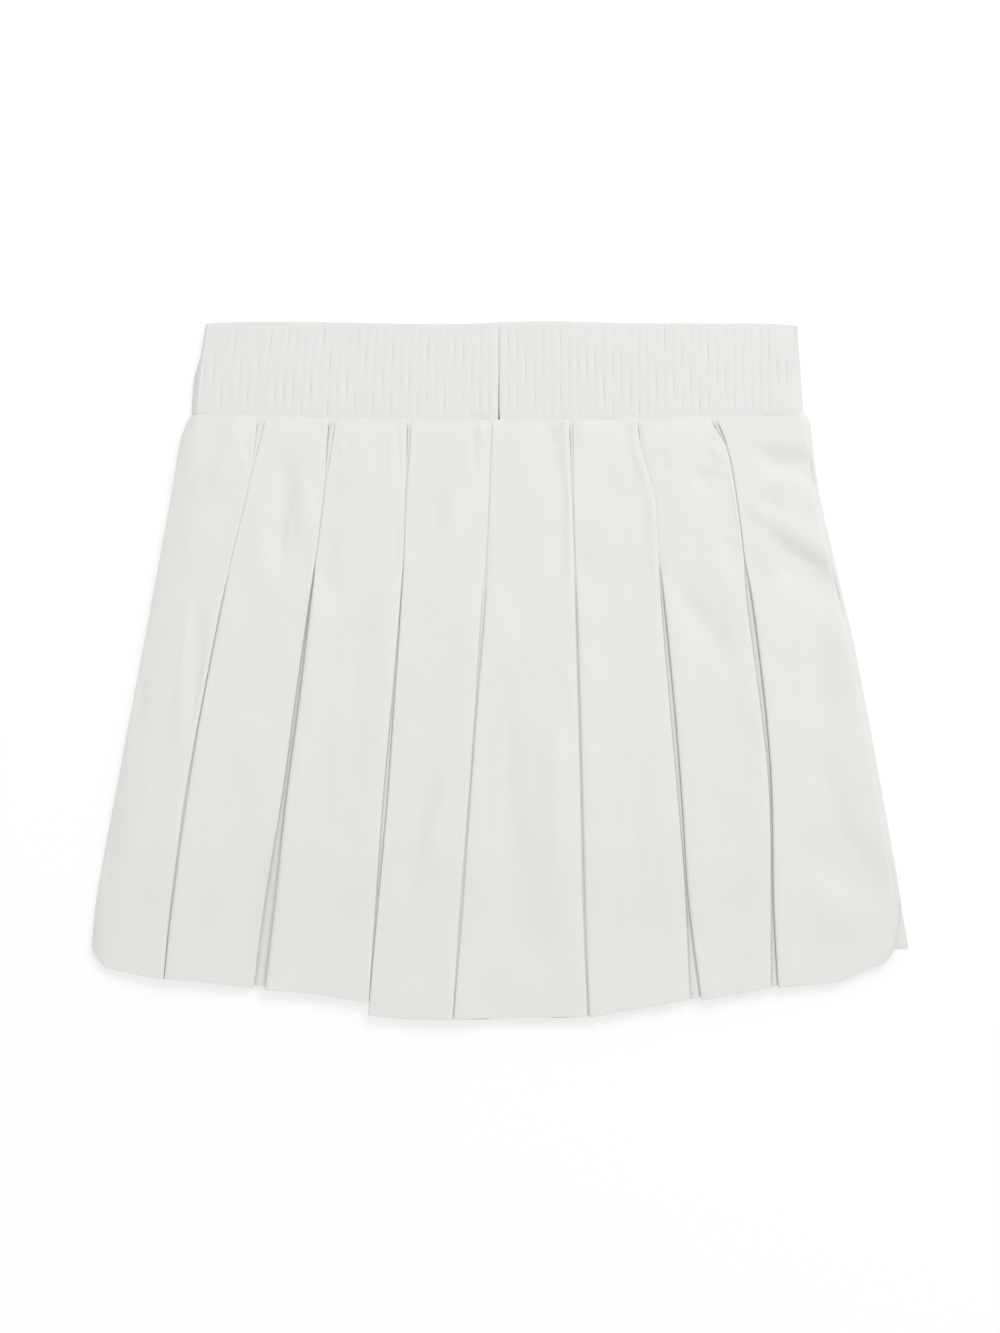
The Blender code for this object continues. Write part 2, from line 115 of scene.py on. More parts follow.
# At its top each pleat gapes between its lips, with the cloth under it bulging up, down to where
# they are sewn together. Lifts are above the flat panel, grooves are below it.
BACK_PLEAT_LIPS = (
    # top_gap  top_gap_end_y  sewn_left  sewn_right  open_left  open_right  sewn_groove  open_groove
    (0.0046,   0.1190,        0.0002,    0.0003,     0.0016,    0.0020,     0.00055,     0.0005),
    (0.0042,   0.1100,        0.0003,    0.0002,     0.0002,    0.0027,     0.00065,     0.0018),
    (0.0022,   0.1050,        0.0002,    0.0005,     0.0014,    0.0008,     0.00065,     0.0012),
    (0.0000,   0.1268,        0.0000,    0.0005,     0.0014,    0.0014,     0.00045,     0.0004),
    (0.0018,   0.1000,        0.0017,    0.0005,     0.0014,    0.0022,     0.00030,     0.0002),
    (0.0018,   0.1180,        0.0012,    0.0001,     0.0010,    0.0018,     0.00020,     0.0011),
    (0.0044,   0.1290,        0.0003,    0.0003,     0.0012,    0.0016,     0.00120,     0.0013),
)
# How much deeper the cloth lies beside the left lip where the top gapes most.
TOP_CREVICES = (0.0003, 0.0017, 0.0017, 0.0008, 0.0014, 0.0022, 0.0012)
TOP_GAPE_POWER = 0.7            # below 1, the gape widens fast above its lower end
# Gaps between the lips below the tack, at these Ys and at the hem.
OPEN_YS = (0.0405, -0.0170, -0.0745, -0.1320)
BACK_PLEAT_GAPS = (
    (0.0,    0.0001, 0.0009, 0.0006, 0.0),
    (0.0010, 0.0024, 0.0026, 0.0060, 0.0066),
    (0.0003, 0.0012, 0.0024, 0.0012, 0.0),
    (0.0017, 0.0006, 0.0005, 0.0010, 0.0001),
    (0.0004, 0.0007, 0.0006, 0.0008, 0.0004),
    (0.0016, 0.0026, 0.0022, 0.0014, 0.0062),
    (0.0030, 0.0027, 0.0013, 0.0014, 0.0038),
)
OPEN_START = 0.0050             # how far above the tack's end the gaps start to widen
GROOVE_START = 0.0030           # how far above it the groove starts to deepen
GROOVE_REACH = 0.0080           # and over what length
# How far the left lip of a pleat sinks towards the hem, between these Ys.
BACK_LIP_DIPS = (0.0, 0.0020, 0.0, 0.0, 0.0, 0.0008, 0.0)
DIP_START_Y = -0.085
DIP_END_Y = -0.125
DIP_REACH = 0.0110              # how far from the lip the panel slopes down to it
PLEAT_SEAM_DEPTH = 0.0160
PLEAT_HEM_DEPTH = 0.0200
CREVICE = 0.0006                # depth of a crevice beside a lip, below the cloth between the lips
LEAST_REACH = 0.0007            # half width of that cloth at its narrowest
COVER_DEPTH = 0.0012            # down to here below the waist it lies level with the panels
COVER_REACH = 0.0050            # and over this length below that it sinks into its groove
COVER_SPREAD = 0.0009           # how much wider it is on each side where it lies level
LIP_REACH = 0.0060              # how far from a sewn lip the cloth comes down from its lift
OPEN_LIP_REACH = 0.0180         # and from an open one
LIFT_REACH = 0.0060             # how far below the waist a sewn lip has its full lift
OPEN_REACH = 0.0300             # how far below the tack the lips have their full lift
RELIEF_REACH = 0.0030           # how far from a lip the soft folds have their full height
PUFF_REACH = 0.0150             # how far below the waist the panels have their full crown
RELIEF_FLOOR = 0.0002           # how far below the flat panel a fold may go over a pleat's layers
FREE_SLACK = 0.0030             # how much further it may go clear of them
FREE_START = 0.0005             # how far beside those layers that begins
FREE_REACH = 0.0040
ROLL_SLACK = 0.0015             # how much further it may go in the slope at a side
ROLL_SLACK_DROP = 0.0007        # once that has dropped so far
# How high the middle of each panel stands, left to right, and how far its hem bows down.
BACK_CROWNS = (0.0, 0.0010, 0.0009, 0.0010, 0.0009, 0.0010, 0.0010, 0.0)
BACK_HEM_BOWS = (0.0, 0.0005, 0.0012, -0.0008, 0.0005, 0.0004, 0.0, 0.0)
WAIST_TUCK = 0.0002             # of the skirt's top edge under the band's lower edge
SKIRT_DIP = 0.0002              # how far the skirt and the band dip where they are sewn together
BAND_DIP = 0.0003
SKIRT_DIP_REACH = 0.0045
# Hem outside the first and last pleats: X and Y, before its corners are rounded.
BACK_HEM_LEFT = ((-0.2355, -0.1695),)
BACK_HEM_RIGHT = ((0.1950, -0.1787), (0.2110, -0.1717), (0.2257, -0.1670))

FRONT_PLEAT_COUNT = 7
FRONT_HEM_GAP = 0.0024
FRONT_HEM_RISE = 0.0040         # of the front's hem above the back's
FRONT_HEM_RIGHT_X = 0.2000      # from here on it rises further, to the front's corner
FRONT_HEM_RIGHT_Y = -0.1607
HIDDEN_HEM_RISE = 0.0008        # of a pleat's hidden layers above the hem line
LEFT_CORNER = (0.0090, 0.0085)  # rise and reach of the rounding of a hem's corner
RIGHT_CORNER = (0.0058, 0.0060)
FRONT_RIGHT_CORNER = (0.0, 0.0010)

# Soft folds of the back: long troughs (negative) and ridges, each along a line.
BACK_FOLDS = (
    # start_x   start_y   end_x    end_y    half_width  height
    (-0.1700,  0.0420, -0.1810, -0.0450,   0.0060,  -0.0014),
    (-0.1765,  0.0600, -0.1900, -0.0650,   0.0040,   0.0014),
    (-0.1530,  0.1560, -0.1610,  0.0950,   0.0070,   0.0020),
    (-0.1245,  0.1300, -0.1250,  0.0500,   0.0070,  -0.0030),
    (-0.1130,  0.1180, -0.1150,  0.0700,   0.0050,   0.0009),
    (-0.0960,  0.0900, -0.1010,  0.0100,   0.0060,  -0.0009),
    (-0.0740,  0.0500, -0.0900, -0.0540,   0.0060,  -0.0016),
    (-0.0290,  0.1050, -0.0580,  0.0600,   0.0060,  -0.0028),
    (-0.0200,  0.1060, -0.0480,  0.0620,   0.0060,   0.0008),
    (-0.0320, -0.0500, -0.0610, -0.1350,   0.0065,  -0.0020),
    (-0.0230, -0.0400, -0.0500, -0.1330,   0.0065,   0.0014),
    (-0.0620, -0.0800, -0.0700, -0.1700,   0.0050,  -0.0007),
    (0.0040,   0.0100,  0.0050, -0.1850,   0.0110,  -0.0030),
    (0.0270,   0.0100,  0.0330, -0.1900,   0.0090,   0.0026),
    (0.0780,  -0.0350,  0.0800, -0.1500,   0.0060,  -0.0010),
    (0.0960,   0.0580,  0.1370, -0.0100,   0.0065,  -0.0016),
    (0.1180,   0.0700,  0.1400,  0.0300,   0.0050,   0.0007),
    (0.1400,  -0.0200,  0.1390, -0.0750,   0.0070,  -0.0013),
    (0.1390,   0.1060,  0.1640,  0.0880,   0.0050,  -0.0012),
    (0.1100,   0.1030,  0.2200,  0.0190,   0.0100,  -0.0046),
    (0.1300,   0.1080,  0.2150,  0.0420,   0.0080,   0.0016),
    (0.1100,   0.1200,  0.1360,  0.0880,   0.0055,  -0.0020),
    (0.1280,   0.1250,  0.2100,  0.1170,   0.0080,  -0.0030),
    (0.1830,   0.0480,  0.1900, -0.0600,   0.0080,  -0.0022),
    (0.1600,  -0.1020,  0.2400, -0.1320,   0.0150,  -0.0034),
    (0.1080,  -0.0950,  0.1560, -0.1050,   0.0120,  -0.0004),
    (0.1860,  -0.0300,  0.1990, -0.1450,   0.0090,  -0.0024),
    (0.1290,  -0.0650,  0.1420, -0.1200,   0.0080,  -0.0005),
    (-0.2070,  0.0200, -0.2120, -0.0550,   0.0060,  -0.0014),
    (-0.2210, -0.0700, -0.2290, -0.1500,   0.0065,  -0.0012),
    (-0.1470, -0.0500, -0.1560, -0.1300,   0.0080,  -0.0007),
    (-0.1000, -0.0300, -0.1070, -0.1100,   0.0070,  -0.0007),
)
# Short tucks and bulges in the gathers under the waistband, and the puckers at the tacks.
BACK_TUCKS = (
    # start_x   start_y   end_x    end_y    half_width   height
    (-0.0155,  0.1450, -0.0157,  0.1100,   0.0017,    -0.0011),
    (-0.0125,  0.1440, -0.0088,  0.1300,   0.0014,     0.0008),
    (-0.0632,  0.1450, -0.0632,  0.0960,   0.0020,     0.0006),
    (-0.0580,  0.1400, -0.0590,  0.1050,   0.0017,    -0.0007),
    (0.0295,   0.1440,  0.0312,  0.1260,   0.0010,    -0.0008),
    (0.0280,   0.1440,  0.0285,  0.1300,   0.0012,     0.0005),
    (0.0385,   0.1140,  0.0372,  0.0830,   0.0018,    -0.0006),
    (0.0330,   0.1180,  0.0320,  0.0900,   0.0020,     0.0004),
    (0.0790,   0.1310,  0.0840,  0.1120,   0.0024,     0.0010),
    (0.0930,   0.1260,  0.0960,  0.1120,   0.0024,    -0.0006),
    (0.1205,   0.1300,  0.1290,  0.1200,   0.0022,     0.0009),
    (-0.1445,  0.1300, -0.1450,  0.1220,   0.0018,    -0.0007),
    (-0.1490,  0.1340, -0.1500,  0.1140,   0.0022,     0.0007),
    (-0.0925,  0.1320, -0.0905,  0.1240,   0.0018,     0.0005),
    (0.1395,   0.0960,  0.1470,  0.0880,   0.0030,    -0.0006),
    (0.1900,   0.0720,  0.1925,  0.0540,   0.0020,    -0.0009),
    (0.1720,   0.1180,  0.1840,  0.1000,   0.0035,    -0.0014),
    (0.0860,   0.0600,  0.0905,  0.0600,   0.0012,    -0.0004),
    (0.0460,   0.0640,  0.0485,  0.0590,   0.0012,     0.0004),
    (-0.1060,  0.0720, -0.1070,  0.0660,   0.0012,     0.0004),
)
FOLD_FADE = 0.40                # share of its length over which a fold fades in and out
TUCK_FADE = 0.35

# Waistband.
BAND_TOP_WIDTH = 0.3412
BAND_SEAM_WIDTH = 0.3500
BAND_TOP_Y = 0.2009
# How far the top edge drops below its highest point, at these places: minus X, left to right.
BAND_TOP_XS = (0.1716, 0.1694, 0.1530, 0.1155, 0.0466, 0.0178, -0.0052, -0.0339, -0.0684, -0.1144,
               -0.1489, -0.1633, -0.1690, -0.1730)
BAND_TOP_DROPS = (0.0042, 0.0016, 0.0006, 0.0003, 0.0016, 0.0014, 0.0003, 0.0000, 0.0010, 0.0013,
                  0.0013, 0.0019, 0.0028, 0.0048)
BAND_TOP_X = 0.0004             # middle of its top edge, of its lower edge and its back seam
BAND_SEAM_X = -0.0008
BACK_SEAM_X = -0.0012
BAND_FLOOR_Z = RIB_CLOTH / 2
BAND_TOP_GAP_Z = 0.0028         # middle to middle of its two walls, at the top and at the waist seam
BAND_SEAM_GAP_Z = BACK_PANEL_Z + 0.0001 - (RIB_CLOTH - SKIRT_CLOTH) / 2 - BAND_FLOOR_Z
BAND_SPREAD_POWER = 0.85        # below 1, the walls part faster near the top
# Its left fold leans out on the way down, by these widths at these shares of the way.
BAND_LEAN_SHARES = (0.0, 0.20, 0.43, 0.70, 1.0)
BAND_LEAN_LOWER = (0.0, 0.0006, 0.0045, 0.0060, 0.0067)     # how far out the lower wall reaches
BAND_LEAN_UPPER = (0.0, 0.0012, 0.0027, 0.0030, 0.0032)     # and the upper one
BAND_LEAN_BULGE = 0.0012        # how far the fold rounds out between them, from this share down
BAND_BULGE_SHARE = 0.43
RIB_PITCH = 0.0050
RIB_DEPTH = 0.00070
BACK_SEAM_GAPS = (0.0007, 0.0011)       # in the upper part and in the lower part
BACK_SEAM_DIP = 0.0004          # how far the band dips at its back seam
BACK_SEAM_HALF_WIDTH = 0.0016
PINCH_X = -0.0130               # where the band is pulled in at its lower edge
PINCH_HALF_WIDTH = 0.0065
PINCH_DEPTH = 0.0007

# Shorts.
SHORTS_SIDE_EASE = 0.0200
SHORTS_MAX_X = 0.1900
CROTCH_Y = -0.0560
LEG_HEM_Y = -0.1040
LEG_SPREAD = 0.0080

# ---------------------------------------------------------------- the photograph's view

PHOTO_WIDE = 1000
PHOTO_HIGH = 1333
PHOTO_SCALE = 0.000575          # metres a pixel on the garment
PHOTO_MIDDLE_X = 501            # the garment's middle, in the photograph's pixels
PHOTO_MIDDLE_Y = 670.5
CAMERA_HEIGHT = 2.4
SENSOR_HIGH = 36.0
WINDOW_DIRECTION = (0.5, 0.85, 1.25)
WINDOW_DISTANCE = 2.7
WINDOW_SIZE = 1.6
ROOM_LIGHT = 0.775
WINDOW_LIGHT = 1.25             # on a surface that faces it, where 3.14 makes a white one full white
FLOOR_TONE = 0.42               # the floor takes the shadows with this and glows with the rest
FLOOR_GLOW = 0.57
FLOOR_Z = -0.0002


# ---------------------------------------------------------------- small functions

def blend(start, end, share):
    return start + (end - start) * share


def ease(share):
    """Smooth step from 0 to 1."""
    share = np.clip(share, 0.0, 1.0)
    return share * share * (3.0 - 2.0 * share)


def through(stations, values, y):
    """Smooth curve through a value at each station; stations fall from the waist to the hem."""
    stations = np.asarray(stations, float)
    values = np.asarray(values, float)
    last = len(stations) - 1
    low = np.maximum(np.arange(last + 1) - 1, 0)
    high = np.minimum(np.arange(last + 1) + 1, last)
    slopes = (values[high] - values[low]) / (stations[high] - stations[low])
    y = np.asarray(y, float)
    span = np.clip(np.searchsorted(-stations, -y, side="right") - 1, 0, last - 1)
    length = stations[span + 1] - stations[span]
    t = (y - stations[span]) / length
    start_push = slopes[span] * length
    end_push = slopes[span + 1] * length
    step = values[span + 1] - values[span]
    turn = start_push + end_push - 2.0 * step
    bend = 3.0 * step - 2.0 * start_push - end_push
    return values[span] + t * (start_push + t * (bend + t * turn))


def seam_y(x):
    """Y of the waist seam, which dips in its middle."""
    share = np.minimum(np.abs(x) / SEAM_HALF_WIDTH, 1.0)
    return SEAM_SIDE_Y - SEAM_DIP * (1.0 - share * share)


SIDE_STATIONS = tuple(row[1] for row in SIDE_ROWS)
LEFT_XS = tuple(row[2] for row in SIDE_ROWS)
RIGHT_XS = tuple(row[3] for row in SIDE_ROWS)
STEP_INS = tuple(row[4] for row in SIDE_ROWS)


def left_x(y):
    return through(SIDE_STATIONS, LEFT_XS, y)


def right_x(y):
    return through(SIDE_STATIONS, RIGHT_XS, y)


def step_in(y):
    """How far the back's right edge lies in from the front's."""
    return np.maximum(through(SIDE_STATIONS, STEP_INS, y), 0.0)


def sink(y):
    """How far the back has settled, below the shorts."""
    return SINK * ease((SINK_START_Y - y) / (SINK_START_Y - SINK_END_Y))


def side_seam_z(y):
    share = (SEAM_SIDE_Y - y) / (SEAM_SIDE_Y - SIDE_STATIONS[-1])
    return blend(SIDE_SEAM_TOP_Z, SIDE_SEAM_HEM_Z, share)


def side_roll(side, y):
    """Width of the slope at a side."""
    rolls = LEFT_ROLLS if side == "left" else RIGHT_ROLLS
    return through(ROLL_YS, rolls, np.clip(y, ROLL_YS[-1], ROLL_YS[0]))


def roll_share(side, part):
    """Share of the way up from the side seam to the panel, part of the way across the roll."""
    rise = LEFT_EDGE_RISE if side == "left" else RIGHT_EDGE_RISE
    return blend(rise, 1.0, 1.0 - (1.0 - part) ** ROLL_POWER)


def back_z(y):
    """Height of the back's flat panels."""
    return BACK_PANEL_Z - sink(y)


def back_drop(x, y):
    """How far the back lies below its flat panels where it rolls down to a side seam."""
    from_left = np.clip((x - left_x(y)) / side_roll("left", y), 0.0, 1.0)
    from_right = np.clip((right_x(y) - step_in(y) - x) / side_roll("right", y), 0.0, 1.0)
    share = np.minimum(roll_share("left", from_left), roll_share("right", from_right))
    return (back_z(y) - side_seam_z(y)) * (1.0 - share)


# ---------------------------------------------------------------- pleats and columns

class Pleat:
    """One inverted pleat: its line down the skirt, the gaps between its lips and its hidden folds."""

    def __init__(self, stations, xs, hem_y, hem_step, lips, crevice, gaps, dip):
        self.stations = stations
        self.xs = xs
        self.hem_y = hem_y
        self.hem_step = hem_step
        self.top_gap, self.top_gap_end = lips[:2]
        self.sewn_lifts = lips[2:4]
        self.open_lifts = lips[4:6]
        self.sewn_groove, self.open_groove = lips[6:]
        self.top_crevice = crevice
        self.gap_ys = (TACK_Y + OPEN_START,) + OPEN_YS + (hem_y,)
        self.gaps = (0.0,) + gaps
        self.end_dip = dip

    def line(self, y):
        return through(self.stations, self.xs, y)

    def below_waist(self, y):
        return self.stations[0] - y

    def gape(self, y):
        """How far open the pleat is in the gathers: 1 at the waist."""
        share = (y - self.top_gap_end) / (SEAM_SIDE_Y - self.top_gap_end)
        return np.clip(share, 0.0, 1.0) ** TOP_GAPE_POWER

    def half_gap(self, y):
        """Half of the gap between the middles of the two lips' walls.

        It is shut at the waist, gapes in the gathers, is sewn shut down to the tack and opens below.
        """
        opened = np.maximum(through(self.gap_ys, self.gaps, np.minimum(y, self.gap_ys[0])), 0.0)
        return (SEAM_GAP / 3 + self.top_gap * self.gape(y) + opened + SKIRT_CLOTH) / 2

    def groove(self, y):
        """How far the cloth between the lips lies below the panel."""
        opened = ease((TACK_Y + GROOVE_START - y) / GROOVE_REACH)
        return blend(self.sewn_groove, self.open_groove, opened)

    def crevice(self, y):
        """How far that cloth lies below the panel beside the lips."""
        return self.groove(y) + CREVICE

    def depth(self, y):
        """How far its hidden layers reach on each side of its line."""
        share = (SEAM_SIDE_Y - y) / (SEAM_SIDE_Y - self.hem_y)
        return blend(PLEAT_SEAM_DEPTH, PLEAT_HEM_DEPTH, share)

    def lift(self, side, y):
        """How high a lip stands: side is 0 for the left one and 1 for the right one."""
        opened = ease((TACK_Y - y) / OPEN_REACH)
        settled = ease((SEAM_SIDE_Y - y) / LIFT_REACH)
        return blend(self.sewn_lifts[side], self.open_lifts[side], opened) * settled

    def dip(self, y):
        """How far the left lip has sunk."""
        return self.end_dip * ease((DIP_START_Y - y) / (DIP_START_Y - DIP_END_Y))

    def lip_hem(self, side):
        return self.hem_y + side * self.hem_step


def back_pleats():
    pleats = []
    for line, lips, crevice, gaps, dip in zip(BACK_PLEAT_LINES, BACK_PLEAT_LIPS, TOP_CREVICES,
                                              BACK_PLEAT_GAPS, BACK_LIP_DIPS):
        hem_y = line[7]
        stations = (float(seam_y(line[0])), GATHER_Y, YOKE_Y, TACK_Y, THIGH_Y, LOW_Y, hem_y)
        pleats.append(Pleat(stations, line[:7], hem_y, line[8], lips, crevice, gaps, dip))
    return pleats


def back_hem_y(x):
    points = BACK_HEM_LEFT + tuple((row[6], row[7]) for row in BACK_PLEAT_LINES) + BACK_HEM_RIGHT
    return through([-point[0] for point in points], [point[1] for point in points], -x)


def front_hem_y(x):
    rise = ease((x - FRONT_HEM_RIGHT_X) / (BACK_HEM_RIGHT[-1][0] - FRONT_HEM_RIGHT_X))
    return blend(back_hem_y(min(x, BACK_HEM_RIGHT[-1][0])) + FRONT_HEM_RISE, FRONT_HEM_RIGHT_Y, rise)


def front_pleats():
    pleats = []
    for number in range(FRONT_PLEAT_COUNT):
        share = (number + 1) / (FRONT_PLEAT_COUNT + 1)
        hem_x = blend(LEFT_XS[-1], RIGHT_XS[-1], share)
        hem_y = float(front_hem_y(hem_x))
        stations = (SEAM_SIDE_Y, TACK_Y, THIGH_Y, hem_y)
        xs = [float(blend(left_x(y), right_x(y), share)) for y in stations[:3]] + [hem_x]
        lips = (0.0, GATHER_Y) + (0.0,) * 6
        gaps = tuple(FRONT_HEM_GAP * part for part in (0.2, 0.4, 0.6, 0.8, 1.0))
        pleats.append(Pleat(stations, xs, hem_y, 0.0, lips, 0.0, gaps, 0.0))
    return pleats


def pleat_columns(pleat, hem_line, panel_z, drop, under, steps):
    """Columns of one pleat, left lip to right lip.

    A column is its hem's Y and a function from Y to its X, Z and how much of the relief it takes.
    drop is how far the piece lies below its flat panels at an X and a Y. under is -1 where the
    hidden layers lie below the panels, as on the back, and 1 where they lie above, as on the front.
    """
    def lip(side, angle):
        """A column round a lip: angle 90 degrees is the panel's face, -90 the layer under it."""
        way = -1 if side == 0 else 1

        def place(y):
            lift = pleat.lift(side, y) if under < 0 else 0.0 * y
            radius = (FOLD_PITCH + lift) / 2
            x = pleat.line(y) + way * (pleat.half_gap(y) + radius * (1.0 - math.cos(angle)))
            dip = pleat.dip(y) * (1.0 - side)
            z = panel_z(y) + lift - dip + under * radius * (1.0 - math.sin(angle))
            return x, z, 0.0 * y
        return pleat.lip_hem(side), place

    def hidden(way, layers, inward):
        def place(y):
            x = pleat.line(y) + way * (pleat.depth(y) - inward)
            return x, panel_z(y) - drop(x, y) + under * layers * FOLD_PITCH, 0.0 * y
        return hem_line(place(pleat.hem_y)[0]) + HIDDEN_HEM_RISE, place

    def between(part):
        """A column of the cloth that shows between the lips."""
        def place(y):
            reach = np.maximum(pleat.half_gap(y) - SKIRT_CLOTH / 2, LEAST_REACH)
            if under > 0:
                return pleat.line(y) + part * reach, panel_z(y) + 2.0 * FOLD_PITCH, 0.0 * y
            covered = 1.0 - ease((pleat.below_waist(y) - COVER_DEPTH) / COVER_REACH)
            x = pleat.line(y) + part * (reach + COVER_SPREAD * covered)
            if abs(part) > 1.0:
                return x, panel_z(y) - pleat.dip(y) * (part < 0.0) - 2.0 * FOLD_PITCH, 0.0 * y
            deep = blend(pleat.crevice(y), pleat.groove(y), 1.0 - part ** 4)
            deep = deep + pleat.dip(y) * (1.0 - part) / 2
            deep = deep + pleat.top_crevice * pleat.gape(y) * ((1.0 - part) / 2) ** 4
            return x, panel_z(y) - deep * (1.0 - covered), 0.0 * y
        return hem_line(place(pleat.hem_y)[0]) + HIDDEN_HEM_RISE, place

    angles = [math.pi * (0.5 - step / steps) for step in range(steps + 1)]
    fold = FOLD_PITCH / 2
    middle = [hidden(-1, 1.0, fold), hidden(-1, 1.5, 0.0), hidden(-1, 2.0, fold)]
    middle += [between(part) for part in (-1.4, -1.0, -0.6, 0.0, 0.6, 1.0, 1.4)]
    middle += [hidden(1, 2.0, fold), hidden(1, 1.5, 0.0), hidden(1, 1.0, fold)]
    return [lip(0, angle) for angle in angles] + middle + [lip(1, angle) for angle in reversed(angles)]


def back_side_turn(side):
    """Inward, part of the roll, and share of the way from the side seam to the panel."""
    rise = roll_share(side, 0.0)
    turn = [(0.0, 0.0, 0.0), (0.0, 0.0, rise / 2), (EDGE_INSET / 4, 0.0, 0.9 * rise),
            (EDGE_INSET, 0.0, rise)]
    for step in range(1, ROLL_STEPS + 1):
        part = (step / ROLL_STEPS) ** ROLL_STEP_POWER
        turn.append((EDGE_INSET, part, roll_share(side, part)))
    return turn


FRONT_SIDE_TURN = (
    # inward  part of the roll  share of the way from the side seam to the panel
    (0.0,     0.0, 0.0),
    (0.0001,  0.0, 0.2),
    (0.0004,  0.0, 0.5),
    (0.0011,  0.0, 0.75),
    (0.0024,  0.0, 0.93),
    (0.0048,  0.0, 1.0),
)


def side_columns(side, edge_x, hem_line, corner, panel_z, seam_z, turn):
    """Columns of a side edge that turns from the panel to the side seam."""
    corner_rise, corner_reach = corner
    way = 1 if side == "left" else -1
    relief_part = LEFT_RELIEF_PART if side == "left" else RIGHT_RELIEF_PART
    columns = []
    for inward, part, share in turn:
        def place(y, inward=inward, part=part, share=share):
            x = edge_x(y) + way * (inward + part * side_roll(side, y))
            return x, blend(seam_z(y), panel_z(y), share), ease(part / relief_part) + 0.0 * y
        round_share = max(1.0 - (inward + part * float(side_roll(side, 0.0))) / corner_reach, 0.0)
        hem_y = float(hem_line(float(place(SIDE_STATIONS[-1])[0])))
        columns.append((hem_y + corner_rise * round_share ** 2, place))
    return columns if side == "left" else columns[::-1]


def panel_columns(left_edge, right_edge, hem_line, panel_z, dip, steps, crown, bow):
    """Columns inside a panel, closer together near its two lips. dip is that of its right one.

    Its hem follows hem_line, or without one it bows between the hems at its edges.
    """
    columns = []
    for number in range(1, steps + 1):
        even = number / (steps + 1)
        share = blend(even, 0.5 - 0.5 * math.cos(math.pi * even), 0.6)
        arch = 1.0 - abs(2.0 * share - 1.0) ** 2.5

        def place(y, share=share, arch=arch):
            start_x, start_z, start_relief = left_edge[1](y)
            end_x, end_z, end_relief = right_edge[1](y)
            base = panel_z(y)
            x = blend(start_x, end_x, share)
            from_left = x - start_x
            from_right = end_x - x
            reach = blend(LIP_REACH, OPEN_LIP_REACH, ease((TACK_Y - y) / OPEN_REACH))
            z = base + (start_z - base) * (1.0 - ease(from_left / reach))
            z = z + (end_z + dip(y) - base) * (1.0 - ease(from_right / reach))
            z = z - dip(y) * (1.0 - ease(from_right / DIP_REACH))
            z = z + crown * arch * ease((SEAM_SIDE_Y - y) / PUFF_REACH)
            relief = np.minimum(np.maximum(ease(from_left / RELIEF_REACH), start_relief),
                                np.maximum(ease(from_right / RELIEF_REACH), end_relief))
            return x, z, relief
        hem = blend(left_edge[0], right_edge[0], share) + bow * 4.0 * share * (1.0 - share)
        if hem_line is not None:
            hem = hem_line(float(place(hem)[0]))
        columns.append((hem, place))
    return columns


def level(*place):
    """The drop or dip of a piece or a lip that has none."""
    return 0.0


def skirt_points(columns, rows):
    """Points and relief shares of a skirt piece, each of rows by columns."""
    points = np.zeros((len(rows), len(columns), 3))
    relief = np.zeros((len(rows), len(columns)))
    for number, (hem, place) in enumerate(columns):
        top = seam_y(place(SEAM_SIDE_Y)[0]) + WAIST_TUCK
        y = blend(top, hem, rows)
        points[:, number, 0], points[:, number, 2], relief[:, number] = place(y)
        points[:, number, 1] = y
    return points, relief


def skirt_columns(pleats, hem_line, left_side, right_side, panel_z, drop, under, steps, lip_steps,
                  crowns, bows):
    """Columns of a skirt piece and the number of the stretch of cloth that each belongs to.

    A stretch is a panel out to its hidden folds, or the underlay between two of those folds.
    """
    columns = list(left_side)
    stretches = [0] * len(columns)
    half = lip_steps + 3
    for number, pleat in enumerate(pleats + [None]):
        if pleat is None:
            group = right_side
            own = [0] * len(group)
            dip = level
            panel_hem = hem_line
        else:
            group = pleat_columns(pleat, hem_line, panel_z, drop, under, lip_steps)
            own = [0] * half + [1] * (len(group) - 2 * half) + [2] * half
            dip = pleat.dip
            panel_hem = None
        panel = panel_columns(columns[-1], group[0], panel_hem, panel_z, dip, steps[number],
                              crowns[number], bows[number])
        columns += panel + group
        stretches += [2 * number + part for part in [0] * len(panel) + own]
    return columns, stretches


def uneven_rows(*spans):
    """Row shares from 0 to 1; each span is (share where it ends, number of rows)."""
    rows = [np.zeros(1)]
    start = 0.0
    for end, count in spans:
        rows.append(np.linspace(start, end, count + 1)[1:])
        start = end
    return np.concatenate(rows)


# ---------------------------------------------------------------- relief

def fold_relief(x, y, folds, fade):
    """Height of soft folds at points.

    Each wanders a little to its sides, widens along its length and fades over a share of it at
    both ends.
    """
    height = np.zeros_like(x)
    for start_x, start_y, end_x, end_y, half_width, rise in folds:
        run_x = end_x - start_x
        run_y = end_y - start_y
        length = math.hypot(run_x, run_y)
        along = ((x - start_x) * run_x + (y - start_y) * run_y) / length ** 2
        wander = 0.35 * half_width * np.sin(along * 5.0 + 900.0 * start_x)
        across = ((x - start_x) * run_y - (y - start_y) * run_x) / length + wander
        taper = ease(along / fade) * ease((1.0 - along) / fade)
        spread = half_width * (0.75 + 0.5 * along)
        height += rise * taper * np.exp(-(across / spread) ** 2)
    return height


RIPPLES = (
    # turns a metre across and down, phase, height
    (31.0, 6.0, 0.4, 0.00010),
    (-22.0, 13.0, 2.1, 0.00012),
    (47.0, -9.0, 1.3, 0.00007),
    (12.0, 21.0, 5.2, 0.00010),
    (70.0, 17.0, 3.6, 0.00004),
)


def ripples(x, y):
    """Slight unevenness of cloth that lies loose."""
    height = np.zeros_like(x)
    for across, down, phase, rise in RIPPLES:
        height += rise * np.sin(2.0 * math.pi * (across * x + down * y) + phase)
    return height


# ---------------------------------------------------------------- cloth and materials

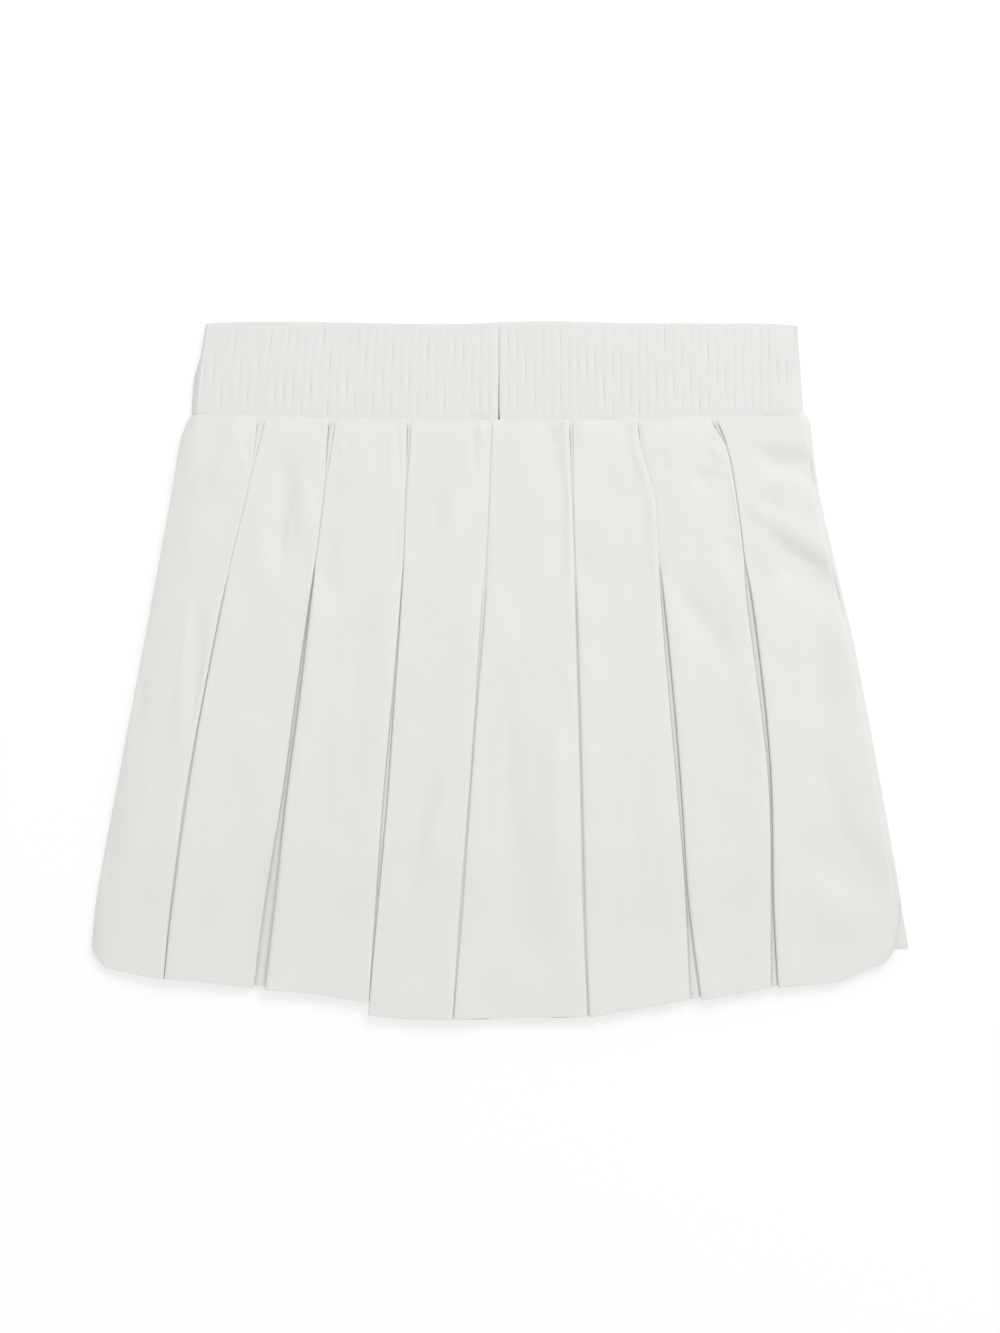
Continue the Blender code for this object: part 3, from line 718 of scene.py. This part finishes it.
def cloth(name, points, wall, finish, node, stretches=None):
    """A sheet of cloth through a grid of points, with its weave laid out in metres on its own UV map.

    The weave is measured across each stretch of columns from its middle one; without stretches it
    runs straight down every column.
    """
    rows, columns = points.shape[:2]
    shape = bmesh.new()
    bmesh.ops.create_grid(shape, x_segments=columns - 1, y_segments=rows - 1, size=1.0)
    mesh = bpy.data.meshes.new(name)
    shape.to_mesh(mesh)
    shape.free()
    flat = points.reshape(-1, 3)
    mesh.vertices.foreach_set("co", flat.astype(np.float32).ravel())
    across = np.zeros((rows, columns))
    across[:, 1:] = np.cumsum(np.linalg.norm(np.diff(points, axis=1), axis=2), axis=1)
    middles = np.arange(columns)
    if stretches is not None:
        numbers = np.array(stretches)
        middles = np.array([int(np.median(np.flatnonzero(numbers == own))) for own in stretches])
    across = across - across[:, middles] + across[-1, middles]
    down = np.zeros((rows, columns))
    down[1:, :] = np.cumsum(np.linalg.norm(np.diff(points, axis=0), axis=2), axis=0)
    places = np.stack([across, down], axis=2).reshape(-1, 2)
    corners = np.zeros(len(mesh.loops), np.int32)
    mesh.loops.foreach_get("vertex_index", corners)
    layer = mesh.uv_layers.new(name="weave")
    layer.data.foreach_set("uv", places[corners].astype(np.float32).ravel())
    mesh.update()
    mesh.shade_smooth()
    mesh.materials.append(finish)
    piece = bpy.data.objects.new(name, mesh)
    bpy.context.scene.collection.objects.link(piece)
    solid = piece.modifiers.new("wall", "SOLIDIFY")
    solid.thickness = wall
    solid.offset = 0.0
    solid.use_even_offset = True
    solid.use_quality_normals = True
    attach(piece, "root")
    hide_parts(node)
    return piece


def node(tree, kind, **values):
    """A new shader node with some of its settings."""
    made = tree.nodes.new(kind)
    for key, value in values.items():
        setattr(made, key, value)
    return made


def knit_group():
    """Fine knit: rows of small loops across the weave map. Gives a bump height and a tone."""
    group = bpy.data.node_groups.new("fine_knit", "ShaderNodeTree")
    face = group.interface
    loop_size = face.new_socket("Loop size", in_out="INPUT", socket_type="NodeSocketFloat")
    loop_size.default_value = 0.0006
    blotch = face.new_socket("Blotch size", in_out="INPUT", socket_type="NodeSocketFloat")
    blotch.default_value = 0.03
    face.new_socket("Height", in_out="OUTPUT", socket_type="NodeSocketFloat")
    face.new_socket("Tone", in_out="OUTPUT", socket_type="NodeSocketFloat")
    start = node(group, "NodeGroupInput")
    end = node(group, "NodeGroupOutput")
    weave = node(group, "ShaderNodeUVMap", uv_map="weave")
    split = node(group, "ShaderNodeSeparateXYZ")
    group.links.new(weave.outputs["UV"], split.inputs[0])

    def turns(source, scale):
        """Sine of a coordinate, one turn for each loop."""
        share = node(group, "ShaderNodeMath", operation="DIVIDE")
        group.links.new(source, share.inputs[0])
        group.links.new(start.outputs["Loop size"], share.inputs[1])
        angle = node(group, "ShaderNodeMath", operation="MULTIPLY")
        group.links.new(share.outputs[0], angle.inputs[0])
        angle.inputs[1].default_value = 2.0 * math.pi * scale
        wave = node(group, "ShaderNodeMath", operation="SINE")
        group.links.new(angle.outputs[0], wave.inputs[0])
        return wave.outputs[0]

    wales = turns(split.outputs["X"], 1.0)
    courses = turns(split.outputs["Y"], 0.75)
    loops = node(group, "ShaderNodeMath", operation="MULTIPLY_ADD")
    group.links.new(wales, loops.inputs[0])
    group.links.new(courses, loops.inputs[1])
    group.links.new(wales, loops.inputs[2])
    group.links.new(loops.outputs[0], end.inputs["Height"])

    place = node(group, "ShaderNodeTexCoord")
    cloud = node(group, "ShaderNodeTexNoise")
    cloud.inputs["Detail"].default_value = 2.0
    size = node(group, "ShaderNodeMath", operation="DIVIDE")
    size.inputs[0].default_value = 1.0
    group.links.new(start.outputs["Blotch size"], size.inputs[1])
    group.links.new(place.outputs["Object"], cloud.inputs["Vector"])
    group.links.new(size.outputs[0], cloud.inputs["Scale"])
    group.links.new(cloud.outputs["Fac"], end.inputs["Tone"])
    return group


def knit_material(name, group, light, dark, loop_size, blotch_size, bump, roughness, sheen):
    """A matt knit whose colour varies softly from dark to light. bump is the height of its loops."""
    made = bpy.data.materials.new(name)
    made.use_nodes = True
    tree = made.node_tree
    shader = tree.nodes["Principled BSDF"]
    shader.inputs["Roughness"].default_value = roughness
    shader.inputs["Sheen Weight"].default_value = sheen
    shader.inputs["Sheen Roughness"].default_value = 0.5
    shader.inputs["Specular IOR Level"].default_value = 0.25
    knit = node(tree, "ShaderNodeGroup", node_tree=group)
    knit.inputs["Loop size"].default_value = loop_size
    knit.inputs["Blotch size"].default_value = blotch_size
    colour = node(tree, "ShaderNodeMix", data_type="RGBA")
    colour.inputs["A"].default_value = dark
    colour.inputs["B"].default_value = light
    tree.links.new(knit.outputs["Tone"], colour.inputs["Factor"])
    tree.links.new(colour.outputs["Result"], shader.inputs["Base Color"])
    raised = node(tree, "ShaderNodeBump")
    raised.inputs["Strength"].default_value = 1.0
    raised.inputs["Distance"].default_value = bump
    tree.links.new(knit.outputs["Height"], raised.inputs["Height"])
    tree.links.new(raised.outputs["Normal"], shader.inputs["Normal"])
    return made


# ---------------------------------------------------------------- the pieces

BACK_ROWS = uneven_rows((0.0006, 1), (0.02, 7), (0.12, 21), (0.22, 13), (0.245, 5), (0.275, 9),
                        (0.985, 46), (0.9992, 2), (1.0, 1))
FRONT_ROWS = uneven_rows((0.0006, 1), (0.02, 4), (0.29, 20), (0.985, 32), (0.9992, 3), (1.0, 1))
BACK_PANEL_STEPS = (15,) + (31,) * 6 + (15,)
FRONT_PANEL_STEPS = (12,) * 8
BACK_LIP_STEPS = 6
FRONT_LIP_STEPS = 4


def make_skirt_back(finish):
    def left_seam_z(y):
        return side_seam_z(y) + SEAM_GAP / 2

    def right_seam_z(y):
        apart = np.minimum(step_in(y) / PARTED, 1.0)
        return blend(left_seam_z(y), FRONT_PANEL_Z + FOLD_PITCH, apart)

    def left_edge(y):
        return left_x(y) + SKIRT_CLOTH / 2

    def right_edge(y):
        return right_x(y) - step_in(y) - SKIRT_CLOTH / 2

    left_side = side_columns("left", left_edge, back_hem_y, LEFT_CORNER, back_z, left_seam_z,
                             back_side_turn("left"))
    right_side = side_columns("right", right_edge, back_hem_y, RIGHT_CORNER, back_z, right_seam_z,
                              back_side_turn("right"))
    pleats = back_pleats()
    columns, stretches = skirt_columns(pleats, back_hem_y, left_side, right_side, back_z, back_drop, -1,
                                       BACK_PANEL_STEPS, BACK_LIP_STEPS, BACK_CROWNS, BACK_HEM_BOWS)
    points, relief = skirt_points(columns, BACK_ROWS)
    x, y, z = points[:, :, 0], points[:, :, 1], points[:, :, 2]
    height = fold_relief(x, y, BACK_FOLDS, FOLD_FADE) + fold_relief(x, y, BACK_TUCKS, TUCK_FADE)
    height = height + ripples(x, y)
    clear = np.min([np.abs(x - pleat.line(y)) - pleat.depth(y) for pleat in pleats], axis=0)
    slack = np.maximum(FREE_SLACK * ease((clear - FREE_START) / FREE_REACH),
                       ROLL_SLACK * np.clip(back_drop(x, y) / ROLL_SLACK_DROP, 0.0, 1.0))
    lowest = np.minimum(z, back_z(y) - RELIEF_FLOOR) - slack * relief
    z[:] = np.where(relief > 0.0, np.maximum(z + relief * height, lowest), z)
    z -= SKIRT_DIP * (1.0 - ease((seam_y(x) - y) / SKIRT_DIP_REACH))
    return cloth("skirt_back_cloth", points, SKIRT_CLOTH, finish, "skirt_back", stretches)


def make_skirt_front(finish):
    def panel_z(y):
        return FRONT_PANEL_Z + 0.0 * y

    def left_seam_z(y):
        return side_seam_z(y) - SEAM_GAP / 2

    def right_seam_z(y):
        apart = np.minimum(step_in(y) / PARTED, 1.0)
        return blend(left_seam_z(y), FRONT_PANEL_Z, apart)

    def left_edge(y):
        return left_x(y) + SKIRT_CLOTH / 2

    def right_edge(y):
        return right_x(y) - SKIRT_CLOTH / 2

    left_side = side_columns("left", left_edge, front_hem_y, LEFT_CORNER, panel_z, left_seam_z,
                             FRONT_SIDE_TURN)
    right_side = side_columns("right", right_edge, front_hem_y, FRONT_RIGHT_CORNER, panel_z,
                              right_seam_z, FRONT_SIDE_TURN)
    flat = (0.0,) * (FRONT_PLEAT_COUNT + 1)
    columns, stretches = skirt_columns(front_pleats(), front_hem_y, left_side, right_side, panel_z,
                                       level, 1, FRONT_PANEL_STEPS, FRONT_LIP_STEPS, flat, flat)
    points, relief = skirt_points(columns, FRONT_ROWS)
    return cloth("skirt_front_cloth", points, SKIRT_CLOTH, finish, "skirt_front", stretches)


BAND_ROWS = uneven_rows((0.02, 3), (0.10, 6), (0.86, 13), (0.965, 3), (0.998, 5), (1.0, 1))
BAND_WALL_STEPS = 280           # columns of each half of the back wall
BAND_FOLD_STEPS = 16


def rib_depth(number, x, y, share):
    """How deep the grooves beside rib number are: each fades in and out down the band in its own way."""
    own = 2.4 * np.sin(7.7 * number) + 0.9 * np.sin(2.9 * number + 1.0)
    patchy = 0.5 + 0.5 * np.sin(2.0 * math.pi * (9.0 * x + 26.0 * y) + own)
    patchy = patchy * (0.6 + 0.4 * np.sin(2.0 * math.pi * (-15.0 * x + 41.0 * y) - own))
    top = 0.5 + 0.5 * np.sin(2.0 * math.pi * 11.0 * x + 3.0 * np.sin(5.1 * number))
    edges = blend(ease(share / 0.16), 1.0, 0.6 * top) * ease((1.0 - share) / (0.06 + 0.14 * top))
    return RIB_DEPTH * (0.10 + 1.5 * patchy ** 1.4) * edges


def make_waistband(finish):
    """The rib band: from the centre back seam round the right fold, along the front and back again."""
    rows = []
    for share in BAND_ROWS:
        spread = blend(BAND_TOP_GAP_Z, BAND_SEAM_GAP_Z, share ** BAND_SPREAD_POWER)
        radius = spread / 2
        half = blend(BAND_TOP_WIDTH, BAND_SEAM_WIDTH, share) / 2 - RIB_CLOTH / 2 - radius
        lower_out = np.interp(share, BAND_LEAN_SHARES, BAND_LEAN_LOWER)
        upper_out = np.interp(share, BAND_LEAN_SHARES, BAND_LEAN_UPPER)
        bulge = blend(radius, BAND_LEAN_BULGE, min(share / BAND_BULGE_SHARE, 1.0))
        middle = blend(BAND_TOP_X, BAND_SEAM_X, share)
        upper = BAND_FLOOR_Z + spread
        steps = np.linspace(0.0, 1.0, BAND_WALL_STEPS + 1)
        angles = np.linspace(0.5, -0.5, BAND_FOLD_STEPS + 1)[1:-1] * math.pi
        front = np.linspace(half, -half, 2 * BAND_WALL_STEPS + 1)
        end_gap = blend(*BACK_SEAM_GAPS, float(ease((share - 0.45) / 0.30)))
        end_gap = end_gap * float(ease((share - 0.03) / 0.10)) / 2
        xs = [blend(BACK_SEAM_X + end_gap, middle + half, steps)]
        zs = [np.full(len(steps), upper)]
        xs.append(middle + half + radius * np.cos(angles))
        zs.append(BAND_FLOOR_Z + radius + radius * np.sin(angles))
        xs.append(middle + front - lower_out * (0.5 - front / half / 2))
        zs.append(np.full(len(front), BAND_FLOOR_Z))
        rise = 0.5 - 0.5 * np.sin(angles)
        xs.append(middle - half - blend(lower_out, upper_out, rise) - bulge * np.cos(angles))
        zs.append(BAND_FLOOR_Z + radius - radius * np.sin(angles))
        xs.append(blend(middle - half - upper_out, BACK_SEAM_X - end_gap, steps))
        zs.append(np.full(len(steps), upper))
        x = np.concatenate(xs)
        z = np.concatenate(zs)
        along = np.zeros(len(x))
        along[1:] = np.cumsum(np.hypot(np.diff(x), np.diff(z)))
        if not rows:
            count = round(along[-1] / RIB_PITCH)
            ribs = np.abs(np.sin(math.pi * count * along / along[-1])) ** 0.6
            numbers = np.round(count * along / along[-1])
        y = blend(BAND_TOP_Y - through(BAND_TOP_XS, BAND_TOP_DROPS, -x), seam_y(x), share)
        on_top = z > BAND_FLOOR_Z + radius
        z = z + np.where(on_top, 1.0, -1.0) * (ribs - 1.0) * rib_depth(numbers, x, y, share)
        z = z - np.where(on_top, BAND_DIP, 0.0) * float(ease((share - 0.93) / 0.07))
        pinch = np.exp(-((x - PINCH_X) / PINCH_HALF_WIDTH) ** 4) * float(ease((share - 0.90) / 0.05))
        z = z - np.where(on_top, PINCH_DEPTH, 0.0) * pinch
        to_seam = np.abs(x - BACK_SEAM_X)
        z = z - np.where(on_top, BACK_SEAM_DIP, 0.0) * np.exp(-(to_seam / BACK_SEAM_HALF_WIDTH) ** 2)
        rows.append(np.stack([x, y, z], axis=1))
    return cloth("rib_waistband", np.array(rows), RIB_CLOTH, finish, "waistband")


SHORTS_ROWS = 40
SHORTS_STEPS = 30
SHORTS_FOLD_STEPS = 6


def make_shorts(name, way, finish, node_name):
    """Half of the shorts: one piece folded round the outer side of the leg. way is -1 for the left."""
    top_y = float(seam_y(0.0)) - SEAM_GAP
    rows = []
    for share in np.linspace(0.0, 1.0, SHORTS_ROWS):
        middle_y = blend(top_y, LEG_HEM_Y, share)
        below = max((CROTCH_Y - middle_y) / (CROTCH_Y - LEG_HEM_Y), 0.0)
        inner = SEAM_GAP / 2 + LEG_SPREAD * below
        edge = float(-left_x(middle_y) if way < 0 else right_x(middle_y))
        outer = min(edge - SHORTS_SIDE_EASE, SHORTS_MAX_X)
        fold = LAYER_PITCH / 2
        walls = np.linspace(inner, outer - fold, SHORTS_STEPS)
        angles = np.linspace(-0.5, 0.5, SHORTS_FOLD_STEPS + 1)[1:-1] * math.pi
        x = np.concatenate([walls, outer - fold + fold * np.cos(angles), walls[::-1]])
        z = np.concatenate([np.full(SHORTS_STEPS, SHORTS_LOWER_Z),
                            SHORTS_LOWER_Z + fold + fold * np.sin(angles),
                            np.full(SHORTS_STEPS, SHORTS_UPPER_Z)])
        y = middle_y + (seam_y(x) - seam_y(0.0)) * (1.0 - share)
        rows.append(np.stack([way * x, y, z], axis=1))
    return cloth(name, np.array(rows), SHORTS_CLOTH, finish, node_name)


# ---------------------------------------------------------------- stage

def make_stage():
    floor_shape = bmesh.new()
    bmesh.ops.create_grid(floor_shape, x_segments=1, y_segments=1, size=4.0)
    floor_mesh = bpy.data.meshes.new("floor")
    floor_shape.to_mesh(floor_mesh)
    floor_shape.free()
    floor = bpy.data.objects.new("floor", floor_mesh)
    floor.location.z = FLOOR_Z
    bpy.context.scene.collection.objects.link(floor)
    pale = bpy.data.materials.new("pale_floor")
    pale.use_nodes = True
    shader = pale.node_tree.nodes["Principled BSDF"]
    shader.inputs["Base Color"].default_value = (FLOOR_TONE, FLOOR_TONE, FLOOR_TONE, 1.0)
    shader.inputs["Roughness"].default_value = 1.0
    shader.inputs["Specular IOR Level"].default_value = 0.0
    shader.inputs["Emission Color"].default_value = (1.0, 1.0, 1.0, 1.0)
    shader.inputs["Emission Strength"].default_value = FLOOR_GLOW
    floor_mesh.materials.append(pale)


def make_light_and_camera():
    scene = bpy.context.scene
    scene.view_settings.view_transform = "Standard"
    scene.view_settings.look = "None"
    world = bpy.data.worlds.new("studio")
    world.use_nodes = True
    background = world.node_tree.nodes["Background"]
    background.inputs["Color"].default_value = (1.0, 1.0, 1.0, 1.0)
    background.inputs["Strength"].default_value = ROOM_LIGHT
    scene.world = world
    toward = Vector(WINDOW_DIRECTION).normalized()
    window = bpy.data.lights.new("window", "AREA")
    window.shape = "DISK"
    window.size = WINDOW_SIZE
    window.energy = WINDOW_LIGHT * math.pi * WINDOW_DISTANCE ** 2
    window_object = bpy.data.objects.new("window", window)
    window_object.location = WINDOW_DISTANCE * toward
    window_object.rotation_euler = toward.to_track_quat("Z", "Y").to_euler()
    scene.collection.objects.link(window_object)
    camera_data = bpy.data.cameras.new("camera")
    camera_data.sensor_fit = "VERTICAL"
    camera_data.sensor_height = SENSOR_HIGH
    camera_data.lens = SENSOR_HIGH * (CAMERA_HEIGHT - BACK_PANEL_Z) / (PHOTO_HIGH * PHOTO_SCALE)
    camera = bpy.data.objects.new("camera", camera_data)
    x = (PHOTO_WIDE / 2 - PHOTO_MIDDLE_X) * PHOTO_SCALE
    y = (PHOTO_MIDDLE_Y - PHOTO_HIGH / 2) * PHOTO_SCALE
    camera.location = (x, y, CAMERA_HEIGHT)
    scene.collection.objects.link(camera)
    scene.camera = camera


# ---------------------------------------------------------------- build

def main():
    knit = knit_group()
    skirt_finish = knit_material("skirt_knit", knit, light=(0.79, 0.792, 0.765, 1.0),
                                 dark=(0.76, 0.763, 0.736, 1.0), loop_size=0.0006, blotch_size=0.03,
                                 bump=0.00003, roughness=0.8, sheen=0.15)
    rib_finish = knit_material("rib_knit", knit, light=(0.795, 0.795, 0.777, 1.0),
                               dark=(0.765, 0.765, 0.747, 1.0), loop_size=0.0008, blotch_size=0.02,
                               bump=0.00006, roughness=0.9, sheen=0.15)
    shorts_finish = knit_material("shorts_knit", knit, light=(0.80, 0.81, 0.78, 1.0),
                                  dark=(0.78, 0.79, 0.76, 1.0), loop_size=0.0005, blotch_size=0.03,
                                  bump=0.00003, roughness=0.8, sheen=0.1)
    back = make_skirt_back(skirt_finish)
    front = make_skirt_front(skirt_finish)
    band = make_waistband(rib_finish)
    left = make_shorts("shorts_left_cloth", -1, shorts_finish, "shorts_left")
    right = make_shorts("shorts_right_cloth", 1, shorts_finish, "shorts_right")


make_light_and_camera()
make_stage()
main()
